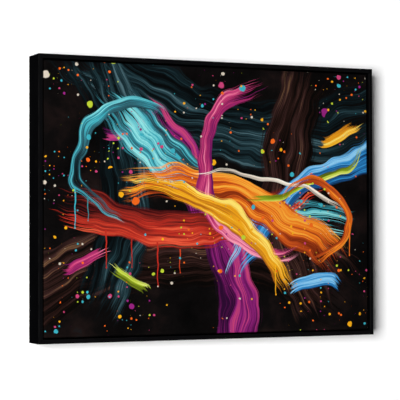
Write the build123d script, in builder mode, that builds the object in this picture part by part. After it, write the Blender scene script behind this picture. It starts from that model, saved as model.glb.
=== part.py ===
"""Framed canvas print: a canvas on a keyed stretcher, in a black float frame hung on two D-rings.

+X is to the right as seen from the front, +Y points to the wall and +Z is up.
The origin is midway between the two wall hooks, on the wall.
"""

import os

from build123d import *

# Canvas and its cloth
canvas_width = 610.0
canvas_height = 457.0
cloth = 0.5
turnover = 34.0  # cloth folded over the back of the stretcher
fold_round = 1.5  # inside radius where the cloth bends round the front edge

# Stretcher bars
bar_width = 40.0
bar_depth = 37.0
bead_width = 10.0  # flat at the outer edge, the only part that the cloth lies on
bead_round = 2.0
bevel_drop = 5.0  # the front falls away from the cloth by this much
bar_edge_round = 1.5

# Corner joint: each bar has a tongue in one layer and a slot for its neighbour's tongue in the other
back_cheek = 11.0
tongue = 5.0

# Keys, the wedges that spread the corner joint
key_gap_inner = 12.0  # the gap at the bar's inner edge
key_gap_outer = 5.0  # the gap at the bar's outer edge
key_tip = 8.0  # how far the key's thin end stops short of the bar's outer edge
key_proud = 10.0  # how far the key's wide end stands inside the corner
key_play = 0.15

# Float frame
lip_width = 7.0
float_gap = 3.0
frame_depth = 50.0
ledge_overlap = 19.0  # reach of the ledge behind the canvas
ledge_thickness = 9.0
lip_round = 0.8
ledge_round = 1.2

# D-ring hangers
hanger_drop = 82.0  # from the frame's top edge down to the ring's hinge
wire_radius = 1.25
ring_half_width = 8.5  # to the middle of the wire
ring_heel = 2.0  # the slant across each lower corner
ring_side = 4.75  # height at which the bow starts, above the hinge
strap_width = 11.0
strap_strip = 0.9
strap_length = 28.0
strap_end_round = 5.0
hinge_play = 0.05
screw_drop = 20.0
screw_hole_radius = 1.9

# Wall bumpers
bumper_height = 5.0
bumper_base_radius = 6.0
bumper_top_radius = 4.2
bumper_chamfer = 0.8
bumper_rise = 44.0  # above the frame's bottom edge

# Places along Y, from the wall at zero to the front of the frame
frame_back_y = -bumper_height
ledge_front_y = frame_back_y - ledge_thickness
bar_back_y = ledge_front_y - cloth

# Overall sizes and places along X and Z
frame_width = canvas_width + 2 * (float_gap + lip_width)
frame_height = canvas_height + 2 * (float_gap + lip_width)
ledge_width = lip_width + float_gap + ledge_overlap
stretcher_width = canvas_width - 2 * cloth
stretcher_height = canvas_height - 2 * cloth
hook_above_hinge = ring_side + ring_half_width - wire_radius
hinge_z = -hook_above_hinge
centre_z = hinge_z + hanger_drop - frame_height / 2
rail_middle_x = frame_width / 2 - ledge_width / 2

# Side of a rectangular frame: direction to its middle, and whether the side runs across
SIDES = {
    "top": (Vector(0, 0, -1), True),
    "bottom": (Vector(0, 0, 1), True),
    "left": (Vector(1, 0, 0), False),
    "right": (Vector(-1, 0, 0), False),
}
HANDS = {"left": -1, "right": 1}

os.makedirs("parts", exist_ok=True)


def facing(y):
    """Plane across the picture at a given Y: local x is +X, local y is +Z, normal to the front."""
    return Plane.XZ.offset(-y)


def side_plane(inward, half_span, back_y):
    """Section plane of one side: x to the middle, y to the front, z along the side, from the outer back edge."""
    front = Vector(0, -1, 0)
    origin = Vector(0, back_y, centre_z) - inward * half_span
    return Plane(origin=origin, x_dir=inward, z_dir=inward.cross(front))


def mitre_planes(section, length):
    """The two planes at 45 degrees that end a side of this length, facing off its ends."""
    return [
        Plane(
            origin=section.origin + section.z_dir * (end * length / 2),
            z_dir=section.x_dir + section.z_dir * end,
        )
        for end in (-1, 1)
    ]


def layer_plane(section, depth):
    """Plane through a side at this depth from its back: local x to the middle, local y along the side."""
    return Plane(
        origin=section.origin + section.y_dir * depth, x_dir=section.x_dir, z_dir=section.y_dir
    )


def key_gap(inset):
    """Width of the key's gap at this distance from the bar's outer edge."""
    return key_gap_outer + (key_gap_inner - key_gap_outer) * inset / bar_width


def save(shape, name):
    shape.label = name
    export_step(shape, f"parts/{name}.step")


# Float frame: four mitred rails with a thin lip round the canvas and a ledge behind it
for side, (inward, across) in SIDES.items():
    length, half_span = (frame_width, frame_height / 2) if across else (frame_height, frame_width / 2)
    section = side_plane(inward, half_span, frame_back_y)
    with BuildPart() as rail:
        with BuildSketch(section) as rail_profile:
            with BuildLine():
                Polyline(
                    (0, 0),
                    (0, frame_depth),
                    (lip_width, frame_depth),
                    (lip_width, ledge_thickness),
                    (ledge_width, ledge_thickness),
                    (ledge_width, 0),
                    close=True,
                )
            make_face()
            fillet(rail_profile.vertices().group_by(Axis.Y)[-1], lip_round)
            fillet(rail_profile.vertices().group_by(Axis.X)[-1], ledge_round)
        extrude(amount=length / 2, both=True)
        for end_plane in mitre_planes(section, length):
            split(bisect_by=end_plane, keep=Keep.BOTTOM)
    save(rail.part, f"frame_rail_{side}")

# Stretcher: four mitred bars, keyed apart at the corners by thin wedges
for side, (inward, across) in SIDES.items():
    length, half_span = (
        (stretcher_width, stretcher_height / 2) if across else (stretcher_height, stretcher_width / 2)
    )
    section = side_plane(inward, half_span, bar_back_y)
    slot_depth, tongue_depth = (
        (back_cheek, back_cheek + tongue) if across else (back_cheek + tongue, back_cheek)
    )
    with BuildPart() as bar:
        with BuildSketch(section) as bar_profile:
            with BuildLine():
                Polyline(
                    (0, 0),
                    (0, bar_depth),
                    (bead_width, bar_depth),
                    (bar_width, bar_depth - bevel_drop),
                    (bar_width, 0),
                    close=True,
                )
            make_face()
            fillet(bar_profile.vertices().group_by(Axis.X)[0].sort_by(Axis.Y)[-1], bead_round)
            fillet(bar_profile.vertices().group_by(Axis.X)[-1], bar_edge_round)
        extrude(amount=length / 2, both=True)
        for end_plane in mitre_planes(section, length):
            split(bisect_by=end_plane, keep=Keep.BOTTOM)
        with BuildSketch(layer_plane(section, tongue_depth)):
            for end in (-1, 1):
                with BuildLine():
                    Polyline(
                        (0, end * length / 2),
                        (bar_width, end * length / 2),
                        (bar_width, end * (length / 2 - bar_width)),
                        close=True,
                    )
                make_face()
        extrude(amount=tongue)
        with BuildSketch(layer_plane(section, slot_depth)):
            for end in (-1, 1):
                with BuildLine():
                    Polyline(
                        (0, end * length / 2),
                        (bar_width, end * length / 2),
                        (bar_width, end * (length / 2 - bar_width - key_gap(bar_width))),
                        (0, end * (length / 2 - bar_width - key_gap(0))),
                        close=True,
                    )
                make_face()
        extrude(amount=tongue, mode=Mode.SUBTRACT)
    save(bar.part, f"stretcher_bar_{side}")

    key_seat = length / 2 - bar_width - key_play
    key_end = bar_width + key_proud
    for end, end_name in ((-1, "a"), (1, "b")):
        with BuildPart() as key:
            with BuildSketch(layer_plane(section, slot_depth + key_play)):
                with BuildLine():
                    Polyline(
                        (key_tip, end * key_seat),
                        (key_end, end * key_seat),
                        (key_end, end * (key_seat - key_gap(key_end) + 2 * key_play)),
                        (key_tip, end * (key_seat - key_gap(key_tip) + 2 * key_play)),
                        close=True,
                    )
                make_face()
            extrude(amount=tongue - 2 * key_play)
        save(key.part, f"corner_key_{side}_{end_name}")

# Canvas: one sheet over the front, round the four edges and folded on to the back of the bars
with BuildPart() as canvas:
    with BuildSketch(facing(ledge_front_y)):
        with Locations((0, centre_z)):
            Rectangle(canvas_width, canvas_height)
    extrude(amount=bar_depth + 2 * cloth)
    fillet(canvas.faces().sort_by(Axis.Y)[0].edges(), fold_round + cloth)
with BuildPart() as stretcher_space:
    with BuildSketch(facing(bar_back_y)):
        with Locations((0, centre_z)):
            Rectangle(stretcher_width, stretcher_height)
    extrude(amount=bar_depth)
    fillet(stretcher_space.faces().sort_by(Axis.Y)[0].edges(), fold_round)
with canvas:
    add(stretcher_space.part, mode=Mode.SUBTRACT)
    with BuildSketch(facing(ledge_front_y)):
        with Locations((0, centre_z)):
            Rectangle(canvas_width - 2 * turnover, canvas_height - 2 * turnover)
    extrude(amount=cloth, mode=Mode.SUBTRACT)
save(canvas.part, "canvas")

# Hangers: on each side rail a folded strap holds a D-ring, and a bumper keeps the foot off the wall
loop_radius = wire_radius + hinge_play + strap_strip
hinge_y = frame_back_y + loop_radius
for hand, sign in HANDS.items():
    hinge_x = sign * rail_middle_x
    with BuildPart() as strap:
        with BuildSketch(Plane.YZ.offset(hinge_x)):
            with Locations((frame_back_y, hinge_z)):
                Rectangle(2 * strap_strip, strap_length, align=(Align.MIN, Align.MAX))
            with Locations((hinge_y, hinge_z)):
                Circle(loop_radius)
                Circle(wire_radius + hinge_play, mode=Mode.SUBTRACT)
        extrude(amount=strap_width / 2, both=True)
        fillet(strap.edges().filter_by(Axis.Y).group_by(Axis.Z)[0], strap_end_round)
        with BuildSketch(facing(frame_back_y)):
            with Locations((hinge_x, hinge_z - screw_drop)):
                Circle(screw_hole_radius)
        extrude(amount=-2 * strap_strip, mode=Mode.SUBTRACT)
    save(strap.part, f"hanger_strap_{hand}")

    with BuildPart() as ring:
        with BuildLine(Plane((hinge_x, hinge_y, hinge_z), x_dir=(1, 0, 0), z_dir=(0, -1, 0))):
            foot = Polyline(
                (0, 0),
                (ring_half_width - ring_heel, 0),
                (ring_half_width, ring_heel),
                (ring_half_width, ring_side),
            )
            bow = JernArc(foot @ 1, foot % 1, ring_half_width, 180)
            Polyline(
                bow @ 1,
                (-ring_half_width, ring_heel),
                (ring_heel - ring_half_width, 0),
                foot @ 0,
            )
        with BuildSketch(Plane(origin=foot @ 0, z_dir=foot % 0)):
            Circle(wire_radius)
        sweep(transition=Transition.RIGHT)
    save(ring.part, f"hanger_ring_{hand}")

    with BuildPart() as bumper:
        bumper_z = centre_z - frame_height / 2 + bumper_rise
        with BuildSketch(Plane((hinge_x, 0, bumper_z))):
            with BuildLine():
                Polyline(
                    (0, frame_back_y),
                    (bumper_base_radius, frame_back_y),
                    (bumper_top_radius + bumper_chamfer, -bumper_chamfer),
                    (bumper_top_radius, 0),
                    (0, 0),
                    close=True,
                )
            make_face()
        revolve(axis=Axis((hinge_x, 0, bumper_z), (0, 1, 0)))
    save(bumper.part, f"wall_bumper_{hand}")
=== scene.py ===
"""Framed canvas print on a white wall: the canvas, its fastenings, all finishes, light and camera."""

import math
import random

import bmesh
import bpy
from mathutils import Matrix, Vector, noise


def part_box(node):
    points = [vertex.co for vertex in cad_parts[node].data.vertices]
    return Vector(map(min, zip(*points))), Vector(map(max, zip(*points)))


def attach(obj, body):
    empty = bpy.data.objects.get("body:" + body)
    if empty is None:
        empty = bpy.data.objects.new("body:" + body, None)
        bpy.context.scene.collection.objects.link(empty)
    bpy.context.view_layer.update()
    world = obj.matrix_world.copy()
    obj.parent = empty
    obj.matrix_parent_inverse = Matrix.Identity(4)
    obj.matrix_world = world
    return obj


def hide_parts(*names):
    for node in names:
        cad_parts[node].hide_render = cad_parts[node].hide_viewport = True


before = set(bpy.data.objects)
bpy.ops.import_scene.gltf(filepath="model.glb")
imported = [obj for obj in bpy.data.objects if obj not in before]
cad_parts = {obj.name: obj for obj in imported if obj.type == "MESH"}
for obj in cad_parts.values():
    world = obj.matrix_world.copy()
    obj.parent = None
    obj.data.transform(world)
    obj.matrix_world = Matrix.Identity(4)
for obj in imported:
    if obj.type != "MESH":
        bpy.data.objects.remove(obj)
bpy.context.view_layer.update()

MM = 0.001
PER_M = 1000  # patterns are worked out in millimetres, so a noise of Scale 0.01 has blots 100 mm wide
CLOSE = 0.01 * MM  # places nearer than this count as the same

# Sizes that the solids share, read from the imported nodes
canvas_low, canvas_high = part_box("canvas")
canvas_size = canvas_high - canvas_low
canvas_middle = (canvas_high + canvas_low) / 2
cloth_back = canvas_high.y
rail_low, rail_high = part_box("frame_rail_top")
frame_back = rail_high.y
frame_left, frame_right = rail_low.x, rail_high.x
frame_top = rail_high.z
frame_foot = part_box("frame_rail_bottom")[0].z
frame_middle_z = (frame_top + frame_foot) / 2
frame_half_height = (frame_top - frame_foot) / 2
ledge_reach = frame_top - rail_low.z

# The cloth, and its staples: how many are in a row, and the furthest that they go from the side's middle
cloth = 0.5 * MM
turnover = 34 * MM
staple_inset = 27 * MM
row_end = staple_inset + 20 * MM
across_staples, across_run = 12, canvas_size.x / 2 - row_end
upright_staples, upright_run = 9, canvas_size.z / 2 - row_end


def linear(hex_colour):
    """An sRGB hex colour as the linear RGBA that shaders take."""
    parts = [int(hex_colour[i:i + 2], 16) / 255 for i in (1, 3, 5)]
    return [c / 12.92 if c <= 0.04045 else ((c + 0.055) / 1.055) ** 2.4 for c in parts] + [1]


def add(tree, kind, *feeds, stops=None, **settings):
    """Adds one node. Settings are its options, or its sockets by name with _ for a space. Feeds fill its
    open sockets in order, each a value, a socket or a node. Stops are a ramp's places and hex colours."""
    made = tree.nodes.new(kind if kind.startswith("Node") else "ShaderNode" + kind)
    named = {}
    for name, value in settings.items():
        if hasattr(made, name):
            setattr(made, name, value)
        else:
            named[made.inputs[name.replace("_", " ")]] = value
    if stops:
        while len(made.color_ramp.elements) < len(stops):
            made.color_ramp.elements.new(0.5)
        for element, (place, colour) in zip(made.color_ramp.elements, stops):
            element.position, element.color = place, linear(colour)
    named.update(zip([s for s in made.inputs if s.enabled], feeds))
    for socket, value in named.items():
        if isinstance(value, bpy.types.Node):
            value = next(s for s in value.outputs if s.enabled)
        if isinstance(value, bpy.types.NodeSocket):
            tree.links.new(value, socket)
        elif value is not None:
            socket.default_value = value
    return made


def new_material(name):
    """An empty node material, and the tree to build in."""
    material = bpy.data.materials.new(name)
    material.use_nodes = True
    material.node_tree.nodes.clear()
    return material, material.node_tree


def group(name, inputs, outputs):
    """An empty node group; Point and Centre are vectors in it, and all the others are numbers."""
    tree = bpy.data.node_groups.new(name, "ShaderNodeTree")
    for label in inputs:
        kind = "NodeSocketVector" if label in ("Point", "Centre") else "NodeSocketFloat"
        tree.interface.new_socket(label, in_out="INPUT", socket_type=kind)
    for label in outputs:
        tree.interface.new_socket(label, in_out="OUTPUT", socket_type="NodeSocketFloat")
    return tree, tree.nodes.new("NodeGroupInput").outputs


def place_in_mm(tree):
    """The point on the piece, in millimetres."""
    where = add(tree, "TexCoord").outputs["Object"]
    return add(tree, "VectorMath", where, (PER_M, PER_M, PER_M), operation="MULTIPLY")


def inside_frame(tree, place, unit):
    """How far in a place is from the frame's nearer side, as X, and from its nearer end, as Z."""
    middle = Vector((0, 0, frame_middle_z)) * unit
    half = Vector((frame_right, 0, frame_half_height)) * unit
    off = add(tree, "VectorMath", place, middle, operation="SUBTRACT")
    away = add(tree, "VectorMath", off, operation="ABSOLUTE")
    return add(tree, "SeparateXYZ", add(tree, "VectorMath", half, away, operation="SUBTRACT"))


def surface(material, colour, rough, shine, bumps, strength, depth, metallic=0.0):
    """Ends a material with one opaque surface: its colour, roughness and shine, and relief from bumps."""
    tree = material.node_tree
    relief = add(tree, "Bump", Strength=strength, Distance=depth, Height=bumps)
    shader = add(
        tree, "BsdfPrincipled", Base_Color=colour, Roughness=rough, Specular_IOR_Level=shine,
        Metallic=metallic, Normal=relief,
    )
    add(tree, "OutputMaterial", shader)
    return material


def plain_weave(tree, axes, spacing):
    """Threads over and under each other, this many millimetres apart: from 1 on top to -1 below."""
    turn = math.pi / spacing
    warp_turn = add(tree, "Math", axes.outputs["X"], turn, operation="MULTIPLY")
    weft_turn = add(tree, "Math", axes.outputs["Z"], turn, operation="MULTIPLY")
    warp = add(tree, "Math", warp_turn, operation="SINE")
    weft = add(tree, "Math", weft_turn, operation="SINE")
    return add(tree, "Math", warp, weft, operation="MULTIPLY")


# The printed design is worked out in millimetres from the middle of the canvas


def brush_stroke_group():
    """A stroke of a wide bristle brush along an arc: where there is paint, and how its streaks run."""
    stray_mm, stray_scale = 9.0, 0.014  # the hand strays off the arc in long waves
    bristles = (0.009, 0.6, 1)  # streaks per mm, along and across: long, and about 1.7 mm apart
    loads = (0.006, 0.1, 1)  # broader loads of paint under them
    tree, given = group(
        "brush stroke",
        ["Point", "Centre", "Radius", "Half width", "Middle", "Sweep", "Dryness", "Seed"],
        ["Mask", "Streak"],
    )
    # how far along the arc from the stroke's middle, and how far off its line
    arm = add(tree, "VectorMath", given["Point"], given["Centre"], operation="SUBTRACT")
    back_turn = add(tree, "Math", given["Middle"], -1.0, operation="MULTIPLY")
    turned = add(tree, "VectorRotate", Vector=arm, Angle=back_turn, rotation_type="Z_AXIS")
    place = add(tree, "SeparateXYZ", turned)
    angle = add(tree, "Math", place.outputs["Y"], place.outputs["X"], operation="ARCTAN2")
    along = add(tree, "Math", angle, given["Radius"], operation="MULTIPLY")
    reach = add(tree, "VectorMath", arm, operation="LENGTH")
    stray_place = add(tree, "CombineXYZ", along, given["Seed"], 0.0)
    stray = add(tree, "TexNoise", Vector=stray_place, Scale=stray_scale, Detail=1.0)
    strayed = add(tree, "MapRange", stray, 0.0, 1.0, -stray_mm, stray_mm)
    off = add(tree, "Math", reach, given["Radius"], operation="SUBTRACT")
    off_line = add(tree, "Math", off, strayed, operation="ADD")
    across = add(tree, "Math", off_line, given["Half width"], operation="DIVIDE")
    length = add(tree, "Math", given["Radius"], given["Sweep"], operation="MULTIPLY")
    run = add(tree, "Math", along, length, operation="DIVIDE")
    # the streaks of the bristles, and the loads of paint
    under_brush = add(tree, "CombineXYZ", along, off_line, given["Seed"])
    fibre_place = add(tree, "VectorMath", under_brush, bristles, operation="MULTIPLY")
    fibre = add(tree, "TexNoise", Vector=fibre_place, Scale=1.0, Detail=3.0, Roughness=0.6)
    load_place = add(tree, "VectorMath", under_brush, loads, operation="MULTIPLY")
    load = add(tree, "TexNoise", Vector=load_place, Scale=1.0, Detail=2.0)
    ragged = add(tree, "Math", fibre, 0.5, operation="SUBTRACT")
    uneven = add(tree, "Math", load, 0.5, operation="SUBTRACT")
    # paint lies within ragged sides and ends, and the brush runs dry towards the far end
    aside = add(tree, "Math", across, operation="ABSOLUTE")
    side = add(tree, "Math", ragged, 0.8, aside, operation="MULTIPLY_ADD")
    side_mask = add(tree, "MapRange", side, 1.0, 0.9, 0.0, 1.0, interpolation_type="SMOOTHSTEP")
    away = add(tree, "Math", run, operation="ABSOLUTE")
    end = add(tree, "Math", ragged, 0.5, away, operation="MULTIPLY_ADD")
    end_mask = add(tree, "MapRange", end, 0.5, 0.46, 0.0, 1.0, interpolation_type="SMOOTHSTEP")
    spent = add(tree, "MapRange", run, -0.2, 0.5, 0.0, 1.0)
    dry = add(tree, "Math", spent, given["Dryness"], operation="MULTIPLY")
    cover = add(tree, "Math", load, 0.6, fibre, operation="MULTIPLY_ADD")
    wet = add(tree, "Math", cover, dry, operation="SUBTRACT")
    wet_mask = add(tree, "MapRange", wet, 0.18, 0.26, 0.0, 1.0, interpolation_type="SMOOTHSTEP")
    inside = add(tree, "Math", side_mask, end_mask, operation="MULTIPLY")
    mask = add(tree, "Math", inside, wet_mask, operation="MULTIPLY")
    # the tone changes with the bristles, the load and the side of the brush
    fine_tone = add(tree, "Math", ragged, 1.3, 0.5, operation="MULTIPLY_ADD")
    load_tone = add(tree, "Math", uneven, 1.7, fine_tone, operation="MULTIPLY_ADD")
    streak = add(tree, "Math", across, 0.22, load_tone, operation="MULTIPLY_ADD")
    add(tree, "NodeGroupOutput", mask, streak)
    return tree


def splatter_group():
    """Round drops thrown off a brush: where they are, and a chance number for the colour of each."""
    tree, given = group("splatter", ["Point", "Cell", "Biggest", "Share", "Seed"], ["Mask", "Pick"])
    cells = add(tree, "VectorMath", given["Point"], given["Cell"], operation="DIVIDE")
    shifted = add(tree, "VectorMath", cells, given["Seed"], operation="ADD")
    drop = add(tree, "TexVoronoi", Vector=shifted, Scale=1.0, Randomness=0.7, voronoi_dimensions="2D")
    chance = add(tree, "SeparateColor", drop.outputs["Color"])
    # most drops are small
    small = add(tree, "Math", chance.outputs["Red"], 2.6, operation="POWER")
    radius = add(tree, "Math", small, given["Biggest"], operation="MULTIPLY")
    wobble = add(tree, "TexNoise", Vector=shifted, Scale=2.6, Detail=2.0)
    dented = add(tree, "Math", wobble, 0.5, operation="SUBTRACT")
    off = add(tree, "Math", dented, 0.22, drop.outputs["Distance"], operation="MULTIPLY_ADD")
    depth = add(tree, "Math", radius, off, operation="SUBTRACT")
    round_mask = add(tree, "MapRange", depth, 0.0, 0.03, 0.0, 1.0)
    kept = add(tree, "Math", chance.outputs["Green"], given["Share"], operation="LESS_THAN")
    mask = add(tree, "Math", round_mask, kept, operation="MULTIPLY")
    add(tree, "NodeGroupOutput", mask, chance.outputs["Blue"])
    return tree


def paint_run_group():
    """A run of wet paint down the canvas: a thin line that narrows, with a bead at its foot."""
    sway_mm = 2.2
    edge = 2.5  # paint gained per mm at the edge of the line and the bead
    tree, given = group("paint run", ["Point", "Across", "Top", "Length", "Half width"], ["Mask"])
    place = add(tree, "SeparateXYZ", given["Point"])
    sway_place = add(tree, "CombineXYZ", given["Across"], place.outputs["Y"], 0.0)
    sway = add(tree, "TexNoise", Vector=sway_place, Scale=0.05, Detail=1.0)
    swayed = add(tree, "MapRange", sway, 0.0, 1.0, -sway_mm, sway_mm)
    from_line = add(tree, "Math", place.outputs["X"], given["Across"], operation="SUBTRACT")
    aside = add(tree, "Math", from_line, swayed, operation="ADD")
    off = add(tree, "Math", aside, operation="ABSOLUTE")
    fallen = add(tree, "Math", given["Top"], place.outputs["Y"], operation="SUBTRACT")
    share = add(tree, "Math", fallen, given["Length"], operation="DIVIDE")
    taper = add(tree, "MapRange", share, 0.0, 1.0, 1.0, 0.5)
    half = add(tree, "Math", taper, given["Half width"], operation="MULTIPLY")
    depth = add(tree, "Math", half, off, operation="SUBTRACT")
    line = add(tree, "Math", depth, edge, operation="MULTIPLY", use_clamp=True)
    began = add(tree, "Math", share, 0.0, operation="GREATER_THAN")
    not_done = add(tree, "Math", share, 1.0, operation="LESS_THAN")
    during = add(tree, "Math", began, not_done, operation="MULTIPLY")
    span = add(tree, "Math", during, line, operation="MULTIPLY")
    # the bead is a little longer than it is wide
    past_foot = add(tree, "Math", fallen, given["Length"], operation="SUBTRACT")
    squeezed = add(tree, "Math", past_foot, 0.75, operation="MULTIPLY")
    away = add(tree, "VectorMath", add(tree, "CombineXYZ", aside, squeezed, 0.0), operation="LENGTH")
    bead_size = add(tree, "Math", given["Half width"], 0.95, operation="MULTIPLY")
    bead_depth = add(tree, "Math", bead_size, away, operation="SUBTRACT")
    bead = add(tree, "Math", bead_depth, edge, operation="MULTIPLY", use_clamp=True)
    add(tree, "NodeGroupOutput", add(tree, "Math", span, bead, operation="MAXIMUM"))
    return tree


# Paints, each a ramp from its dark streaks to its pale ones
GROUND = [(0.3, "#030303"), (0.52, "#0b0909"), (0.66, "#1a1211"), (0.76, "#141d20")]
UMBER = [(0.25, "#070504"), (0.55, "#231411"), (0.78, "#3d2624"), (0.97, "#6d4f35")]
SLATE = [(0.25, "#050708"), (0.55, "#0f1c20"), (0.78, "#243d44"), (0.97, "#4a666e")]
PURPLE = [(0.15, "#2a0a2e"), (0.45, "#641656"), (0.62, "#8d2276"), (0.85, "#c04071")]
TEAL = [(0.12, "#10262d"), (0.42, "#2f5f6b"), (0.6, "#3aa7b7"), (0.88, "#8fdcdc")]
CRIMSON = [(0.12, "#3d0d10"), (0.42, "#7f241d"), (0.62, "#b52a1f"), (0.88, "#e2583a")]
ORANGE = [(0.12, "#7a2a10"), (0.4, "#ba491b"), (0.6, "#e8761c"), (0.85, "#f2ab3c")]
YELLOW = [(0.12, "#a8601a"), (0.4, "#e0951b"), (0.6, "#eba719"), (0.85, "#f8dc6a")]
PINK = [(0.12, "#641656"), (0.42, "#a52a63"), (0.62, "#d0487c"), (0.88, "#f29ab0")]
LIME = [(0.12, "#4f5a14"), (0.45, "#8fa521"), (0.65, "#b7c934"), (0.88, "#e3ea8a")]
CREAM = [(0.12, "#8d8175"), (0.45, "#cdc1b1"), (0.65, "#e6dccb"), (0.9, "#fbf6ec")]
AZURE = [(0.12, "#122a4d"), (0.42, "#1d5c96"), (0.62, "#2f8fd0"), (0.88, "#8cc9ec")]

# Strokes from the first laid to the last: paint, centre x and y, radius, half width, middle angle and
# sweep in degrees, dryness, seed
STROKES = [
    (UMBER, -40, -640, 560, 62, 97, 74, 0.62, 5.9),
    (SLATE, 120, 640, 520, 58, -96, 70, 0.62, 9.4),
    (UMBER, 560, 40, 420, 50, 184, 62, 0.66, 15.2),
    (SLATE, -560, 20, 400, 46, 4, 66, 0.66, 19.8),
    (LIME, -215, -240, 125, 9, 66, 40, 0.98, 111.7),
    (PINK, -255, -10, 100, 10, -72, 56, 0.98, 121.1),
    (YELLOW, 215, 225, 115, 10, -66, 50, 0.98, 131.9),
    (AZURE, 205, -262, 120, 11, 98, 52, 0.96, 149.7),
    (PURPLE, -190, 200, 90, 9, -60, 70, 0.7, 157.3),
    (PURPLE, -470, -250, 520, 36, 22, 58, 0.66, 3.1),
    (TEAL, 250, 520, 560, 33, -112, 54, 0.8, 11.7),
    (CRIMSON, -60, 420, 470, 31, -82, 62, 0.74, 23.3),
    (AZURE, 420, -330, 430, 22, 128, 56, 0.8, 31.9),
    (ORANGE, -90, -420, 450, 31, 74, 58, 0.74, 41.3),
    (PINK, 130, 60, 150, 14, 205, 180, 0.75, 57.7),
    (YELLOW, -150, -300, 330, 17, 62, 66, 0.78, 67.1),
    (TEAL, -150, 60, 96, 10, 160, 205, 0.66, 73.3),
    (LIME, 60, 330, 330, 6, -64, 46, 0.7, 83.9),
    (CREAM, 20, -390, 440, 4, 80, 40, 0.8, 97.1),
    (ORANGE, 190, -40, 70, 8, 40, 220, 0.66, 103.3),
]

# Runs of wet paint under the strokes: x and y of the top, length, half width, colour
RUNS = [
    (-103, -72, 74, 1.7, "#b52a1f"),
    (-150, -66, 48, 1.4, "#a32419"),
    (-196, -52, 62, 1.6, "#b52a1f"),
    (-62, -84, 40, 1.3, "#c8401f"),
    (-251, 18, 66, 1.6, "#3aa7b7"),
    (-228, 2, 38, 1.2, "#2f8792"),
    (268, -38, 58, 1.5, "#e8761c"),
    (120, -112, 52, 1.6, "#eba719"),
]

# Drops by size: cell, biggest radius as a share of it, share of cells used, seed
DROPS = [(40, 0.22, 0.62, 4.2), (19, 0.27, 0.75, 17.6), (8, 0.3, 0.6, 29.4)]

# Colours of the drops, each from this chance number up
DROP_COLOURS = [
    (0.0, "#eba719"),
    (0.2, "#e8641c"),
    (0.36, "#c04071"),
    (0.5, "#3aa7b7"),
    (0.66, "#cdc1b1"),
    (0.78, "#b7c934"),
    (0.88, "#8d2276"),
]


def printed_canvas():
    """Woven cotton canvas, coated white and inkjet printed: matt, with a fine weave and dense colours.
    The print covers the face and the sides; the turned-over margin stays white."""
    thread_spacing = 0.55
    push_mm = 60
    margin_from, margin_to = 3.0, 2.4  # the print ends this far in front of the cloth's back
    material, tree = new_material("printed_cotton_canvas")
    centred = add(tree, "VectorMath", place_in_mm(tree), canvas_middle * PER_M, operation="SUBTRACT")
    axes = add(tree, "SeparateXYZ", centred)
    flat = add(tree, "CombineXYZ", axes.outputs["X"], axes.outputs["Z"], 0.0)
    # a slow swirl bends everything a little, as paint pushed about by hand
    swirl = add(tree, "TexNoise", Vector=flat, Scale=0.009, Detail=2.0)
    push = add(tree, "VectorMath", swirl.outputs["Color"], (0.5, 0.5, 0.5), operation="SUBTRACT")
    pushed = add(tree, "VectorMath", push, (push_mm, push_mm, 0), operation="MULTIPLY")
    point = add(tree, "VectorMath", flat, pushed, operation="ADD")

    def lay(under, mask, paint):
        return add(tree, "Mix", mask, under, paint, data_type="RGBA")

    cloud = add(tree, "TexNoise", Vector=point, Scale=0.011, Detail=5.0, Roughness=0.62)
    colour = add(tree, "ValToRGB", cloud, stops=GROUND)
    stroke = brush_stroke_group()
    # the brush jumps a little where it crosses the ridge of the stroke before
    touched = point
    for ramp, x, y, radius, half, middle, sweep, dryness, seed in STROKES:
        laid = add(
            tree, "Group", node_tree=stroke, Point=touched, Centre=(x, y, 0), Radius=radius,
            Half_width=half, Middle=math.radians(middle), Sweep=math.radians(sweep), Dryness=dryness,
            Seed=seed,
        )
        paint = add(tree, "ValToRGB", laid.outputs["Streak"], stops=ramp)
        colour = lay(colour, laid.outputs["Mask"], paint)
        jump = add(tree, "VectorMath", laid.outputs["Mask"], (0.5, 0.3, 0), operation="MULTIPLY")
        touched = add(tree, "VectorMath", point, jump, operation="ADD")

    run = paint_run_group()
    for x, top, length, half, paint in RUNS:
        ran = add(
            tree, "Group", node_tree=run, Point=flat, Across=x, Top=top, Length=length, Half_width=half
        )
        colour = lay(colour, ran, linear(paint))

    # drops lie thickest where the brush was shaken
    splatter = splatter_group()
    shaken = add(tree, "TexNoise", Vector=flat, Scale=0.008, Detail=2.0)
    thick = add(tree, "MapRange", shaken, 0.42, 0.66, 0.0, 1.0)
    for cell, biggest, share, seed in DROPS:
        used = add(tree, "Math", thick, share, operation="MULTIPLY")
        thrown = add(
            tree, "Group", node_tree=splatter, Point=flat, Cell=cell, Biggest=biggest, Share=used, Seed=seed
        )
        paint = add(tree, "ValToRGB", thrown.outputs["Pick"], stops=DROP_COLOURS)
        paint.color_ramp.interpolation = "CONSTANT"
        colour = lay(colour, thrown.outputs["Mask"], paint)

    back_mm = (cloth_back - canvas_middle.y) * PER_M
    margin = add(tree, "MapRange", axes.outputs["Y"], back_mm - margin_from, back_mm - margin_to, 0.0, 1.0)
    colour = lay(colour, margin, linear("#e9e5da"))

    weave = plain_weave(tree, axes, thread_spacing)
    thread_tone = add(tree, "MapRange", weave, -1.0, 1.0, 0.86, 1.08)
    ink = add(tree, "Mix", 1.0, colour, thread_tone, data_type="RGBA", blend_type="MULTIPLY")
    return surface(material, ink, rough=0.78, shine=0.01, bumps=weave, strength=0.5, depth=0.4 * MM)


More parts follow.
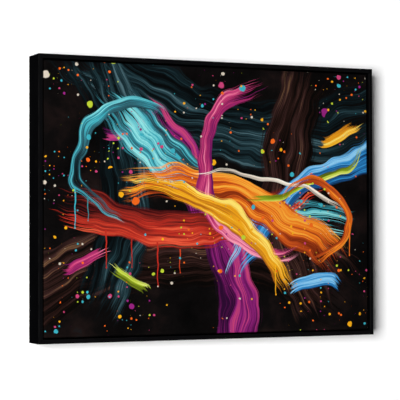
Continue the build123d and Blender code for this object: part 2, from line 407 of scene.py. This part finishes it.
def raw_canvas():
    """The uncoated back of the cotton canvas: cream, with a visible plain weave and a few darker slubs."""
    thread_spacing = 0.9  # half as much again as the real one, so that the threads show
    slub_long, slub_thin = 0.03, 0.9  # slubs per mm along a thread and across it
    material, tree = new_material("raw_cotton_canvas")
    scaled = place_in_mm(tree)
    weave = plain_weave(tree, add(tree, "SeparateXYZ", scaled), thread_spacing)
    # slubs are thicker stretches of single threads, in both directions
    warp_place = add(tree, "VectorMath", scaled, (slub_thin, 0.1, slub_long), operation="MULTIPLY")
    weft_place = add(tree, "VectorMath", scaled, (slub_long, 0.1, slub_thin), operation="MULTIPLY")
    warp_slub = add(tree, "TexNoise", Vector=warp_place, Scale=1.0, Detail=1.0)
    weft_slub = add(tree, "TexNoise", Vector=weft_place, Scale=1.0, Detail=1.0)
    both = add(tree, "Math", warp_slub, weft_slub, operation="ADD")
    slub = add(tree, "Math", both, 0.5, operation="MULTIPLY")
    tone = add(tree, "Math", weave, 0.13, slub, operation="MULTIPLY_ADD")
    colour = add(tree, "ValToRGB", tone, stops=[(0.3, "#c3b494"), (0.5, "#d8cbb0"), (0.7, "#e6dcc8")])
    return surface(material, colour, rough=0.9, shine=0.15, bumps=tone, strength=0.5, depth=0.3 * MM)


def black_lacquered_wood(name, grain):
    """Ramin moulding with sprayed matt black lacquer: nearly black, the front a little paler as painted
    light, the rounded edges paler where worn and as a painted highlight, faint grain, and bare wood on
    the back with spray over its edges."""
    material, tree = new_material(name)
    scaled = place_in_mm(tree)
    axes = add(tree, "SeparateXYZ", scaled)
    facing = add(tree, "NewGeometry").outputs["Normal"]
    faces = add(tree, "SeparateXYZ", facing)
    fibres = add(tree, "VectorMath", scaled, grain, operation="MULTIPLY")
    pores = add(tree, "TexNoise", Vector=fibres, Scale=1.4, Detail=4.0, Roughness=0.65)
    broad = add(tree, "TexNoise", Vector=scaled, Scale=0.03, Detail=2.0)
    sprayed = add(tree, "ValToRGB", broad, stops=[(0.3, "#030304"), (0.7, "#050506")])
    # painted light: the front face is painted paler than the sides, as if lit, most where the grain stands
    # up
    front_face = add(tree, "MapRange", faces.outputs["Y"], -0.25, -0.85, 0.0, 1.0)
    raised = add(tree, "MapRange", pores, 0.3, 0.7, 0.4, 1.0)
    painted_front_light = add(tree, "Math", front_face, raised, operation="MULTIPLY")
    lacquer_with_front_light = add(tree, "Mix", painted_front_light, sprayed, linear("#0c0c0d"), data_type="RGBA")
    # edge wear and painted highlight: rounded edges face between two directions, and there the lacquer is
    # painted paler in places, as worn thin and as a highlight along the edge
    shares = add(tree, "SeparateXYZ", add(tree, "VectorMath", facing, operation="ABSOLUTE"))
    sideways = add(tree, "Math", shares.outputs["X"], shares.outputs["Z"], operation="MAXIMUM")
    main_share = add(tree, "Math", sideways, shares.outputs["Y"], operation="MAXIMUM")
    rounded = add(tree, "MapRange", main_share, 0.97, 0.85, 0.0, 1.0)
    knocks = add(tree, "TexNoise", Vector=scaled, Scale=0.05, Detail=5.0, Roughness=0.7)
    knocked = add(tree, "MapRange", knocks, 0.42, 0.62, 0.25, 1.0)
    edge_wear_and_highlight = add(tree, "Math", rounded, knocked, operation="MULTIPLY")
    lacquer = add(tree, "Mix", edge_wear_and_highlight, lacquer_with_front_light, linear("#1e1d1d"), data_type="RGBA")
    # bare wood on the back face, with up to about 5 mm of spray feathered over its outer edge
    bare = add(tree, "ValToRGB", pores, stops=[(0.3, "#9c7c52"), (0.55, "#c3a273"), (0.75, "#d8bd92")])
    back_face = add(tree, "MapRange", faces.outputs["Y"], 0.8, 0.9, 0.0, 1.0)
    back_mm = frame_back * PER_M
    at_back = add(tree, "MapRange", axes.outputs["Y"], back_mm - 1.0, back_mm - 0.5, 0.0, 1.0)
    inside = inside_frame(tree, scaled, PER_M)
    inset = add(tree, "Math", inside.outputs["X"], inside.outputs["Z"], operation="MINIMUM")
    drift = add(tree, "TexNoise", Vector=scaled, Scale=0.16, Detail=6.0, Roughness=0.75)
    drifted = add(tree, "Math", drift, 0.5, operation="SUBTRACT")
    ragged = add(tree, "Math", drifted, 5.0, inset, operation="MULTIPLY_ADD")
    clear = add(tree, "MapRange", ragged, 0.5, 5.5, 0.0, 1.0, interpolation_type="SMOOTHSTEP")
    on_back = add(tree, "Math", back_face, at_back, operation="MULTIPLY")
    is_bare = add(tree, "Math", on_back, clear, operation="MULTIPLY")
    finish = add(tree, "Mix", is_bare, lacquer, bare, data_type="RGBA")
    # the mitre: a dark line about 0.5 mm wide, wider than a real one so that it shows
    difference = add(tree, "Math", inside.outputs["X"], inside.outputs["Z"], operation="SUBTRACT")
    off_mitre = add(tree, "Math", difference, operation="ABSOLUTE")
    joint = add(tree, "MapRange", off_mitre, 0.5, 0.15, 0.0, 1.0)
    colour = add(tree, "Mix", joint, finish, linear("#020202"), data_type="RGBA")
    rough = add(tree, "MapRange", is_bare, 0.0, 1.0, 0.42, 0.8)
    return surface(material, colour, rough, shine=0.0002, bumps=pores, strength=0.12, depth=0.2 * MM)


def planed_wood(name, turn, pale, mid, dark, ring_mm, shift):
    """Planed wood without finish: curved year rings of pale early wood and darker late wood, and fine
    fibres, running along the piece."""
    along_grain = 0.035  # the rings change this much more slowly along the piece than across it
    wander_mm = 16
    material, tree = new_material(name)
    where = add(tree, "TexCoord").outputs["Object"]
    laid = add(tree, "Mapping", where, Rotation=turn, Scale=(PER_M, PER_M, PER_M))
    shifted = add(tree, "VectorMath", laid, shift, operation="ADD")
    stretched = add(tree, "VectorMath", shifted, (along_grain, 1, 1), operation="MULTIPLY")
    wander = add(tree, "TexNoise", Vector=stretched, Scale=0.06, Detail=2.0)
    sideways = (0, wander_mm, wander_mm)
    wandered = add(tree, "VectorMath", wander.outputs["Color"], sideways, operation="MULTIPLY")
    bent = add(tree, "VectorMath", stretched, wandered, operation="ADD")
    axes = add(tree, "SeparateXYZ", bent)
    square = add(tree, "Math", axes.outputs["Y"], axes.outputs["Y"], operation="MULTIPLY")
    squares = add(tree, "Math", axes.outputs["Z"], axes.outputs["Z"], square, operation="MULTIPLY_ADD")
    radius = add(tree, "Math", squares, operation="SQRT")
    rings = add(tree, "Math", radius, ring_mm, operation="DIVIDE")
    ring = add(tree, "Math", rings, operation="FRACT")
    fibre_place = add(tree, "VectorMath", shifted, (0.03, 1.6, 1.6), operation="MULTIPLY")
    fibre = add(tree, "TexNoise", Vector=fibre_place, Scale=1.0, Detail=3.0)
    fine = add(tree, "Math", fibre, 0.5, operation="SUBTRACT")
    tone = add(tree, "Math", fine, 0.5, ring, operation="MULTIPLY_ADD")
    colour = add(tree, "ValToRGB", tone, stops=[(0.05, pale), (0.6, mid), (0.9, dark), (1.0, pale)])
    return surface(material, colour, rough=0.72, shine=0.3, bumps=fibre, strength=0.2, depth=0.2 * MM)


def zinc_plated_steel():
    """Pressed mild steel with bright zinc plate: cool grey metal, faint rolling lines and dull patches."""
    rolled = (4, 4, 0.25)  # lines per mm
    material, tree = new_material("bright_zinc_plated_steel")
    scaled = place_in_mm(tree)
    patches = add(tree, "TexNoise", Vector=scaled, Scale=0.35, Detail=4.0, Roughness=0.6)
    line_place = add(tree, "VectorMath", scaled, rolled, operation="MULTIPLY")
    lines = add(tree, "TexNoise", Vector=line_place, Scale=1.0, Detail=2.0)
    colour = add(tree, "ValToRGB", patches, stops=[(0.3, "#a9adb0"), (0.7, "#cfd2d3")])
    rough = add(tree, "MapRange", patches, 0.3, 0.7, 0.38, 0.24)
    return surface(
        material, colour, rough, shine=0.5, bumps=lines, strength=0.1, depth=0.1 * MM, metallic=1.0
    )


def bumper_rubber():
    """Moulded black rubber: matt, with a slight bloom of dust."""
    material, tree = new_material("moulded_rubber")
    bloom = add(tree, "TexNoise", Vector=place_in_mm(tree), Scale=0.5, Detail=5.0, Roughness=0.7)
    colour = add(tree, "ValToRGB", bloom, stops=[(0.35, "#171717"), (0.6, "#202021"), (0.8, "#343433")])
    rough = add(tree, "MapRange", bloom, 0.3, 0.8, 0.55, 0.75)
    return surface(material, colour, rough, shine=0.4, bumps=bloom, strength=0.15, depth=0.1 * MM)


def dress(node, material):
    """Gives a CAD node its finish."""
    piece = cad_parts[node]
    piece.data.materials.clear()
    piece.data.materials.append(material)


def start(name, adder, **sizes):
    """Adds one primitive on its own, named, with its place in its mesh."""
    bpy.ops.object.select_all(action="DESELECT")
    adder(calc_uvs=False, **sizes)
    piece = bpy.context.active_object
    piece.name = piece.data.name = name
    bpy.ops.object.transform_apply(location=True, rotation=True, scale=True)
    return piece


def choose(piece, domain, test):
    """In edit mode, selects only the edges or faces that pass the test."""
    bpy.ops.mesh.select_mode(type=domain)
    bpy.ops.mesh.select_all(action="DESELECT")
    mesh = bmesh.from_edit_mesh(piece.data)
    for item in mesh.edges if domain == "EDGE" else mesh.faces:
        item.select_set(test(item))
    mesh.select_flush_mode()
    bmesh.update_edit_mesh(piece.data)


def middle_of(edge):
    return (edge.verts[0].co + edge.verts[1].co) / 2


def loosen_edge(canvas):
    """In edit mode, waves the cloth's cut edge a little and lifts it midway between the staples."""
    corner_reach = 35 * MM  # the edge is held flat at the corners and free from here on
    wave_length, wave_depth = 30 * MM, 1.6 * MM
    lift, lift_change = 1.1 * MM, 1.0 * MM
    side_seed = 40  # so that no two sides wave alike
    mesh = bmesh.from_edit_mesh(canvas.data)
    half = canvas_size / 2 - Vector((turnover, 0, turnover))
    for point in [v for v in mesh.verts if v.is_boundary]:
        off = point.co - canvas_middle
        if half.x - abs(off.x) < half.z - abs(off.z):
            side, along, count, run, end = 0, off.z, upright_staples, upright_run, half.z
        else:
            side, along, count, run, end = 2, off.x, across_staples, across_run, half.x
        free = min((end - abs(along)) / corner_reach, 1)
        wave = noise.noise(Vector((along / wave_length, off[side] * side_seed, 0)))
        pitch = 2 * run / (count - 1)
        between = math.sin(math.pi * (along + run) / pitch) ** 2
        point.co[side] += free * wave * wave_depth
        point.co.y += free * between * (lift + wave * lift_change)
    bmesh.update_edit_mesh(canvas.data)


def lay_out_print(canvas):
    """A map of the cloth for baking: the printed face has the upper part, the back of that face most of
    the lower part, and the narrow sides and turned-over margins share the corner that is left."""
    # left, right, foot and top on the map
    print_at = (0.0, 1.0, 0.4, 1.0)
    back_at = (0.0, 0.62, 0.0, 0.395)
    rest_at = (0.625, 1.0, 0.0, 0.395)

    def is_flat(face):
        return (face.normal.y if face.material_index else -face.normal.y) > 0.5

    canvas.data.uv_layers.new(name="OFBake")
    bpy.ops.object.mode_set(mode="EDIT")
    choose(canvas, "FACE", lambda f: not is_flat(f))
    bpy.ops.uv.smart_project(angle_limit=math.radians(66), island_margin=0.004, scale_to_bounds=True)
    mesh = bmesh.from_edit_mesh(canvas.data)
    map_layer = mesh.loops.layers.uv["OFBake"]
    for face in mesh.faces:
        left, right, foot, top = rest_at if face.select else (print_at, back_at)[face.material_index]
        for corner in face.loops:
            spot = corner[map_layer].uv
            if not face.select:
                off = corner.vert.co - canvas_low
                spot.xy = off.x / canvas_size.x, off.z / canvas_size.z
            spot.xy = left + spot.x * (right - left), foot + spot.y * (top - foot)
    bmesh.update_edit_mesh(canvas.data)
    bpy.ops.object.mode_set(mode="OBJECT")


def stretched_canvas(printed, raw, folds):
    """The cloth, from a box: open behind, rounded over the front edges and turned in over the bars, its
    cut edge uneven and lifted between the staples."""
    front_round = 2 * MM
    net = 12 * MM  # spacing of the points that the cut edge is loosened by
    turned_steps = (22 * MM, 29 * MM, turnover)
    canvas = start(
        "canvas_sheet", bpy.ops.mesh.primitive_cube_add, size=1, location=canvas_middle, scale=canvas_size
    )
    bpy.ops.object.mode_set(mode="EDIT")
    choose(canvas, "FACE", lambda f: f.normal.y > 0.9)
    bpy.ops.mesh.delete(type="ONLY_FACE")
    choose(canvas, "EDGE", lambda e: middle_of(e).y < canvas_low.y + CLOSE)
    bpy.ops.mesh.bevel(offset=front_round, segments=4, affect="EDGES")
    for axis in (0, 2):
        pieces = round(canvas_size[axis] / net)
        for i in range(1, pieces):
            cut_at, facing = canvas_low.copy(), Vector()
            cut_at[axis] += canvas_size[axis] * i / pieces
            facing[axis] = 1
            bpy.ops.mesh.select_all(action="SELECT")
            bpy.ops.mesh.bisect(plane_co=cut_at, plane_no=facing)
    choose(canvas, "EDGE", lambda e: e.is_boundary)
    turned = 0
    for reach in turned_steps:
        bpy.ops.mesh.extrude_region_move()
        narrower = [(size - 2 * reach) / (size - 2 * turned) for size in canvas_size]
        bpy.ops.transform.resize(value=(narrower[0], 1, narrower[2]), center_override=canvas_middle)
        turned = reach
    loosen_edge(canvas)
    bpy.ops.mesh.select_all(action="SELECT")
    bpy.ops.mesh.normals_make_consistent(inside=False)
    bpy.ops.object.mode_set(mode="OBJECT")
    canvas.data.materials.append(printed)
    canvas.data.materials.append(raw)
    wall = canvas.modifiers.new("cloth", "SOLIDIFY")
    wall.thickness, wall.offset, wall.material_offset = cloth, -1, 1
    bpy.ops.object.modifier_apply(modifier=wall.name)
    bpy.ops.object.shade_smooth_by_angle(angle=math.radians(40))
    lay_out_print(canvas)
    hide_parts("canvas")
    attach(canvas, "picture")


def copies(pattern, name, places):
    """Sets a copy of the pattern at each place, joins them to one piece and removes the pattern."""
    bpy.ops.object.select_all(action="DESELECT")
    for place in places:
        twin = pattern.copy()
        twin.data = pattern.data.copy()
        twin.matrix_world = place
        bpy.context.collection.objects.link(twin)
        twin.select_set(True)
        bpy.context.view_layer.objects.active = twin
    bpy.ops.object.join()
    bpy.ops.object.transform_apply(location=True, rotation=True, scale=True)
    made = bpy.context.active_object
    made.name = made.data.name = name
    bpy.data.objects.remove(pattern)
    return made


def at(spot, turn):
    """A place on the back, turned in its plane."""
    return Matrix.Translation(spot) @ Matrix.Rotation(turn, 4, "Y")


def staples(steel):
    """Wire staples through the turned-over cloth, about 46 mm apart and never quite straight."""
    crown, thick, wide = 10.5 * MM, 0.6 * MM, 1.1 * MM
    leg_from, leg_length = 4.5 * MM, 1.5 * MM
    bend = 0.35 * MM
    along_play, off_play, tilt_play = 3, 2, 9  # millimetres, and degrees
    staple = start(
        "staple", bpy.ops.mesh.primitive_cube_add, size=1,
        location=(0, thick / 2, 0), scale=(crown, thick, wide),
    )
    bpy.ops.object.mode_set(mode="EDIT")
    for x in (-leg_from, leg_from):
        bpy.ops.mesh.select_all(action="SELECT")
        bpy.ops.mesh.bisect(plane_co=(x, 0, 0), plane_no=(1, 0, 0))
    choose(staple, "FACE", lambda f: f.normal.y < -0.9 and abs(f.calc_center_median().x) > leg_from)
    bpy.ops.mesh.extrude_region_move(TRANSFORM_OT_translate={"value": (0, -leg_length, 0)})
    choose(
        staple, "EDGE",
        lambda e: middle_of(e).y > thick - CLOSE and abs(middle_of(e).x) > crown / 2 - CLOSE,
    )
    bpy.ops.mesh.bevel(offset=bend, segments=2, affect="EDGES")
    bpy.ops.object.mode_set(mode="OBJECT")
    staple.data.materials.append(steel)
    chance = random.Random(12)
    across, up = canvas_size.x / 2 - staple_inset, canvas_size.z / 2 - staple_inset
    places = []
    for count, run, height, turn in (
        (across_staples, across_run, up, 0),
        (upright_staples, upright_run, across, 90),
    ):
        for side in (-1, 1):
            for i in range(count):
                along = (2 * i / (count - 1) - 1) * run + chance.uniform(-along_play, along_play) * MM
                off = side * height + chance.uniform(-off_play, off_play) * MM
                x, z = (off, along) if turn else (along, off)
                tilt = math.radians(turn + chance.uniform(-tilt_play, tilt_play))
                places.append(at((canvas_middle.x + x, cloth_back, canvas_middle.z + z), tilt))
    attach(copies(staple, "staples", places), "picture")


def corner_folds(printed):
    """The spare cloth at each back corner, folded over into a flap with a slanting edge, stapled down."""
    ledge_edge = 19.2 * MM  # how far in the frame's ledge presses the flap
    rise = 0.9 * MM
    low, high = (14 * MM, 0, 17 * MM), (54 * MM, rise, 37 * MM)
    crease = 0.35 * MM
    fold = start(
        "corner_fold", bpy.ops.mesh.primitive_cube_add, size=1,
        location=[(a + b) / 2 for a, b in zip(low, high)], scale=[b - a for a, b in zip(low, high)],
    )
    bpy.ops.object.mode_set(mode="EDIT")
    # cut to the slanting fold, the raw edge, the line along the ledge and the cloth's turned-over edge
    for point, normal in (
        ((ledge_edge, 0, ledge_edge), (-1, 0, 1)),
        ((36 * MM, 0, 34 * MM), (0.72, 0, 0.69)),
        ((0, 0, ledge_edge), (0, 0, -1)),
        ((0, 0, turnover + 0.2 * MM), (0, 0, 1)),
    ):
        bpy.ops.mesh.select_all(action="SELECT")
        bpy.ops.mesh.bisect(plane_co=point, plane_no=normal, clear_outer=True, use_fill=True)
    choose(fold, "EDGE", lambda e: middle_of(e).y > rise - CLOSE)
    bpy.ops.mesh.bevel(offset=crease, segments=2, affect="EDGES")
    bpy.ops.mesh.select_all(action="SELECT")
    bpy.ops.mesh.normals_make_consistent(inside=False)
    bpy.ops.object.mode_set(mode="OBJECT")
    fold.data.materials.append(printed)
    places = []
    for turn, x, z in ((180, 1, 1), (0, -1, -1), (90, -1, 1), (270, 1, -1)):
        corner = (
            canvas_middle.x + x * canvas_size.x / 2, cloth_back, canvas_middle.z + z * canvas_size.z / 2
        )
        places.append(at(corner, math.radians(turn)))
    made = copies(fold, "corner_folds", places)
    bpy.ops.object.shade_smooth_by_angle(angle=math.radians(40))
    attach(made, "picture")
    return made


def v_nails(steel):
    """V-shaped nails pressed into the back of the frame across each mitre, two to a corner."""
    leg, thick = 5.2 * MM, 0.55 * MM
    proud, depth = 0.2 * MM, 2.2 * MM
    half_opening = math.radians(38)
    chamfer = 0.08 * MM
    insets = (9 * MM, 19 * MM)
    nail = start(
        "v_nail", bpy.ops.mesh.primitive_cube_add, size=1,
        location=(leg / 2, proud - depth / 2, 0), scale=(leg, depth, thick),
    )
    bpy.ops.object.mode_set(mode="EDIT")
    bpy.ops.mesh.select_all(action="SELECT")
    bpy.ops.transform.rotate(value=half_opening, orient_axis="Y", center_override=(0, 0, 0))
    bpy.ops.mesh.duplicate()
    bpy.ops.transform.mirror(constraint_axis=(False, False, True), center_override=(0, 0, 0))
    bpy.ops.mesh.select_all(action="SELECT")
    bpy.ops.mesh.normals_make_consistent(inside=False)
    choose(nail, "EDGE", lambda e: middle_of(e).y > proud - CLOSE)
    bpy.ops.mesh.bevel(offset=chamfer, segments=1, affect="EDGES")
    bpy.ops.object.mode_set(mode="OBJECT")
    nail.data.materials.append(steel)
    places = []
    for x, z, turn in ((1, 1, 135), (-1, 1, 45), (-1, -1, -45), (1, -1, -135)):
        for inset in insets:
            spot = (x * (frame_right - inset), frame_back, frame_middle_z + z * (frame_half_height - inset))
            places.append(at(spot, math.radians(turn)))
    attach(copies(nail, "v_nails", places), "picture")


def screws(steel):
    """Pan-head screws with a cross recess: one in each hanger strap, and six in the frame's ledge that
    hold the stretcher."""
    head_radius, head_height, dome = 3.8 * MM, 2.0 * MM, 1.3 * MM
    shank_inset, shank_length = 2.1 * MM, 2.6 * MM
    arm, slot, recess_depth = 3.8 * MM, 0.9 * MM, 1.2 * MM
    strap_thick, strap_screw = 1.8 * MM, 8 * MM  # the second from the strap's foot up to its screw
    from_ledge_edge, ledge_screw_x, ledge_screw_size = 8.5 * MM, 190 * MM, 0.85
    screw = start(
        "screw", bpy.ops.mesh.primitive_cylinder_add, vertices=32, radius=head_radius, depth=head_height,
        location=(0, head_height / 2, 0), rotation=(math.radians(90), 0, 0),
    )
    bpy.ops.object.mode_set(mode="EDIT")
    choose(screw, "FACE", lambda f: f.normal.y > 0.9)
    bpy.ops.mesh.bevel(offset=dome, segments=4, affect="EDGES")
    choose(screw, "FACE", lambda f: f.normal.y < -0.9)
    bpy.ops.mesh.inset(thickness=shank_inset)
    bpy.ops.mesh.extrude_region_move(TRANSFORM_OT_translate={"value": (0, -shank_length, 0)})
    bpy.ops.object.mode_set(mode="OBJECT")
    recess = start(
        "recess", bpy.ops.mesh.primitive_cube_add, size=1,
        location=(0, head_height, 0), scale=(arm, 2 * recess_depth, slot),
    )
    bpy.ops.object.mode_set(mode="EDIT")
    for x in (-slot / 2, slot / 2):
        bpy.ops.mesh.select_all(action="SELECT")
        bpy.ops.mesh.bisect(plane_co=(x, 0, 0), plane_no=(1, 0, 0))
    for end in (-1, 1):
        choose(
            recess, "FACE",
            lambda f: f.normal.z * end > 0.9 and abs(f.calc_center_median().x) < slot / 2,
        )
        outward = (0, 0, end * (arm - slot) / 2)
        bpy.ops.mesh.extrude_region_move(TRANSFORM_OT_translate={"value": outward})
    bpy.ops.object.mode_set(mode="OBJECT")
    bpy.ops.object.select_all(action="DESELECT")
    bpy.context.view_layer.objects.active = screw
    cut = screw.modifiers.new("recess", "BOOLEAN")
    cut.operation, cut.object, cut.solver = "DIFFERENCE", recess, "EXACT"
    bpy.ops.object.modifier_apply(modifier=cut.name)
    bpy.data.objects.remove(recess)
    screw.data.materials.append(steel)
    spots = []
    for hand in ("left", "right"):
        low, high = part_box(f"hanger_strap_{hand}")
        spots.append((((low.x + high.x) / 2, frame_back + strap_thick, low.z + strap_screw), 1.0))
    inset = ledge_reach - from_ledge_edge
    heights = (frame_top - inset, frame_foot + inset)
    ledge_spots = [(x, z) for x in (-ledge_screw_x, ledge_screw_x) for z in heights]
    ledge_spots += [(x, frame_middle_z) for x in (frame_left + inset, frame_right - inset)]
    spots += [((x, frame_back, z), ledge_screw_size) for x, z in ledge_spots]
    chance = random.Random(5)
    places = [at(spot, chance.uniform(0, math.pi)) @ Matrix.Scale(size, 4) for spot, size in spots]
    made = copies(screw, "screws", places)
    bpy.ops.object.shade_smooth_by_angle(angle=math.radians(35))
    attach(made, "picture")


def wall_paint():
    """White emulsion laid on with a roller: matt, and faintly stippled, and painted dark behind the
    picture as shade. A camera sees it only from in front, and it lets the light from behind through to
    the frame's back."""
    shaded_from, shaded_to = 0.5, 0.9  # metres from the picture's middle
    painted_shade_depth = 20 * MM  # the painted shade is full this far in behind the picture, where no light gets to the wall
    material, tree = new_material("white_wall_paint")
    where = add(tree, "TexCoord").outputs["Object"]
    roller = add(tree, "TexNoise", Vector=where, Scale=350.0, Detail=2.0)
    relief = add(tree, "Bump", Strength=0.03, Distance=0.5 * MM, Height=roller)
    # painted shade: the wall is painted dark behind the picture, standing in for the picture's own shadow
    # there
    inside = inside_frame(tree, where, 1)
    inset = add(tree, "Math", inside.outputs["X"], inside.outputs["Z"], operation="MINIMUM")
    painted_shade = add(tree, "MapRange", inset, 0.0, painted_shade_depth, 0.0, 1.0)
    white = add(tree, "Mix", painted_shade, linear("#fbfbfb"), linear("#1c1c1c"), data_type="RGBA")
    painted = add(tree, "BsdfDiffuse", Color=white, Normal=relief)
    # plain white further off than the picture's shadow reaches
    off = add(tree, "VectorMath", where, (0, 0, frame_middle_z), operation="DISTANCE")
    far = add(tree, "MapRange", off, shaded_from, shaded_to, 0.0, 1.0, interpolation_type="SMOOTHSTEP")
    plain = add(tree, "Emission", Color=(1, 1, 1, 1), Strength=1.0)
    front = add(tree, "MixShader", far, painted, plain)
    # where the camera sees the wall, the frame's back close to it gets no light from the lamp behind
    path = add(tree, "LightPath").outputs
    steps = add(tree, "Math", path["Diffuse Depth"], path["Is Shadow Ray"], operation="ADD")
    from_wall = add(tree, "Math", steps, 1.5, operation="GREATER_THAN")
    close_by = add(tree, "Math", path["Ray Length"], -cloth_back, operation="LESS_THAN")
    returned = add(tree, "Math", from_wall, close_by, operation="MULTIPLY")
    met = add(tree, "Math", path["Is Camera Ray"], returned, operation="MAXIMUM")
    behind = add(tree, "NewGeometry").outputs["Backfacing"]
    seen = add(tree, "Math", met, behind, operation="SUBTRACT", use_clamp=True)
    add(tree, "OutputMaterial", add(tree, "MixShader", seen, add(tree, "BsdfTransparent"), front))
    return material


def floor_paint():
    """Pale floor paint: its own shade near by, fading to the white of the background further off."""
    near, distant = 2.5, 9.0  # metres from the wall hooks
    near_glow = 0.7  # near by, the camera sees this share as a plain tone and the rest as lit
    material, tree = new_material("pale_floor")
    where = add(tree, "TexCoord").outputs["Object"]
    mottle = add(tree, "TexNoise", Vector=where, Scale=6.0, Detail=4.0)
    colour = add(tree, "ValToRGB", mottle, stops=[(0.3, "#ededec"), (0.7, "#f1f1f0")])
    off = add(tree, "VectorMath", where, operation="LENGTH")
    share = add(tree, "MapRange", off, near, distant, near_glow, 1.0, interpolation_type="SMOOTHSTEP")
    far = add(tree, "MapRange", off, near, distant, 0.0, 1.0, interpolation_type="SMOOTHSTEP")
    shown = add(tree, "Mix", far, colour, linear("#fbfbfb"), data_type="RGBA")
    seen = add(tree, "LightPath").outputs["Is Camera Ray"]
    glow = add(tree, "Math", seen, share, operation="MULTIPLY")
    lit = add(tree, "BsdfDiffuse", Color=colour)
    white = add(tree, "Emission", Color=shown, Strength=1.0)
    add(tree, "OutputMaterial", add(tree, "MixShader", glow, lit, white))
    return material


def stage_set():
    """The wall that the print hangs on, and the floor below."""
    wall = start("wall", bpy.ops.mesh.primitive_plane_add, size=10, rotation=(math.radians(90), 0, 0))
    wall.data.materials.append(wall_paint())
    floor = start("floor", bpy.ops.mesh.primitive_plane_add, size=80, location=(0, 0, -1.4))
    floor.data.materials.append(floor_paint())
    floor.visible_diffuse = False  # no light thrown up into the shadow on the wall


def lamp(name, place, target, width, height, watts):
    """One soft box aimed at a point."""
    light = bpy.data.lights.new(name, "AREA")
    light.shape, light.size, light.size_y, light.energy = "RECTANGLE", width, height, watts
    holder = bpy.data.objects.new(name, light)
    bpy.context.collection.objects.link(holder)
    aim = Vector(target) - Vector(place)
    holder.matrix_world = Matrix.Translation(place) @ aim.to_track_quat("-Z", "Y").to_matrix().to_4x4()


def studio():
    """Key light from the left in front, even light all round and a lamp for the back."""
    front_level, back_level = 0.11, 0.6
    world = bpy.data.worlds.new("studio")
    bpy.context.scene.world = world
    world.use_nodes = True
    tree = world.node_tree
    tree.nodes.clear()
    path = add(tree, "LightPath").outputs
    seen = add(tree, "Math", path["Is Camera Ray"], path["Is Glossy Ray"], operation="MAXIMUM")
    shown = add(tree, "Math", seen, path["Is Transmission Ray"], operation="MAXIMUM")
    # little light comes from in front, beside the key, and much more from behind, to show the back
    direction = add(tree, "SeparateXYZ", add(tree, "TexCoord").outputs["Generated"])
    level = add(tree, "MapRange", direction.outputs["Y"], -0.1, 0.25, front_level, back_level)
    soft = add(tree, "Background", Color=(1, 1, 1, 1), Strength=level)
    white = add(tree, "Background", Color=(1, 1, 1, 1), Strength=0.96)
    add(tree, "OutputWorld", add(tree, "MixShader", shown, soft, white))
    aim = (0, -0.03, frame_middle_z)
    lamp("key", (-3.2, -4.2, -0.12), aim, 1.6, 2.2, 395)
    lamp("back", (2.0, 3.0, 1.6), aim, 1.6, 1.6, 70)
    bpy.context.scene.view_settings.view_transform = "Standard"


def camera():
    """The photograph's view: from the left, fitted to the four corners of the frame's face."""
    eye = bpy.data.cameras.new("camera")
    eye.lens, eye.sensor_width = 143.593, 36
    holder = bpy.data.objects.new("camera", eye)
    bpy.context.collection.objects.link(holder)
    holder.location = (-1.14372, -2.54282, -0.24192)
    holder.rotation_euler = [math.radians(turn) for turn in (91.5392, 0.1624, -24.1934)]
    bpy.context.scene.camera = holder


# Finishes of the solids
quarter_turn = (0, math.radians(90), 0)
pine_rings, beech_rings = 4.0, 2.5  # millimetres
beech = ("#c99f6c", "#b98b57", "#9a6f41")
steel = zinc_plated_steel()
rubber = bumper_rubber()
lacquer_across = black_lacquered_wood("black_lacquered_wood_across", (0.03, 1, 1))
lacquer_upright = black_lacquered_wood("black_lacquered_wood_upright", (1, 1, 0.03))
pine_across = planed_wood(
    "planed_pine_across", (0, 0, 0), "#e3c08c", "#d6a869", "#b47d41", pine_rings, (0, 90, 70)
)
pine_upright = planed_wood(
    "planed_pine_upright", quarter_turn, "#e6c592", "#d8ad70", "#b88246", pine_rings, (300, 80, -60)
)
key_across = planed_wood("sawn_beech_across", (0, 0, 0), *beech, beech_rings, (40, 55, 30))
key_upright = planed_wood("sawn_beech_upright", quarter_turn, *beech, beech_rings, (70, 35, 50))
for side, lacquer, pine, key in (
    ("top", lacquer_across, pine_across, key_upright),
    ("bottom", lacquer_across, pine_across, key_upright),
    ("left", lacquer_upright, pine_upright, key_across),
    ("right", lacquer_upright, pine_upright, key_across),
):
    dress(f"frame_rail_{side}", lacquer)
    dress(f"stretcher_bar_{side}", pine)
    dress(f"corner_key_{side}_a", key)
    dress(f"corner_key_{side}_b", key)
for hand in ("left", "right"):
    dress(f"hanger_strap_{hand}", steel)
    dress(f"hanger_ring_{hand}", steel)
    dress(f"wall_bumper_{hand}", rubber)

# Pieces that the solids lack, then the stage, light and camera
print_finish = printed_canvas()
stretched_canvas(print_finish, raw_canvas(), corner_folds(print_finish))
staples(steel)
screws(steel)
v_nails(steel)
stage_set()
studio()
camera()
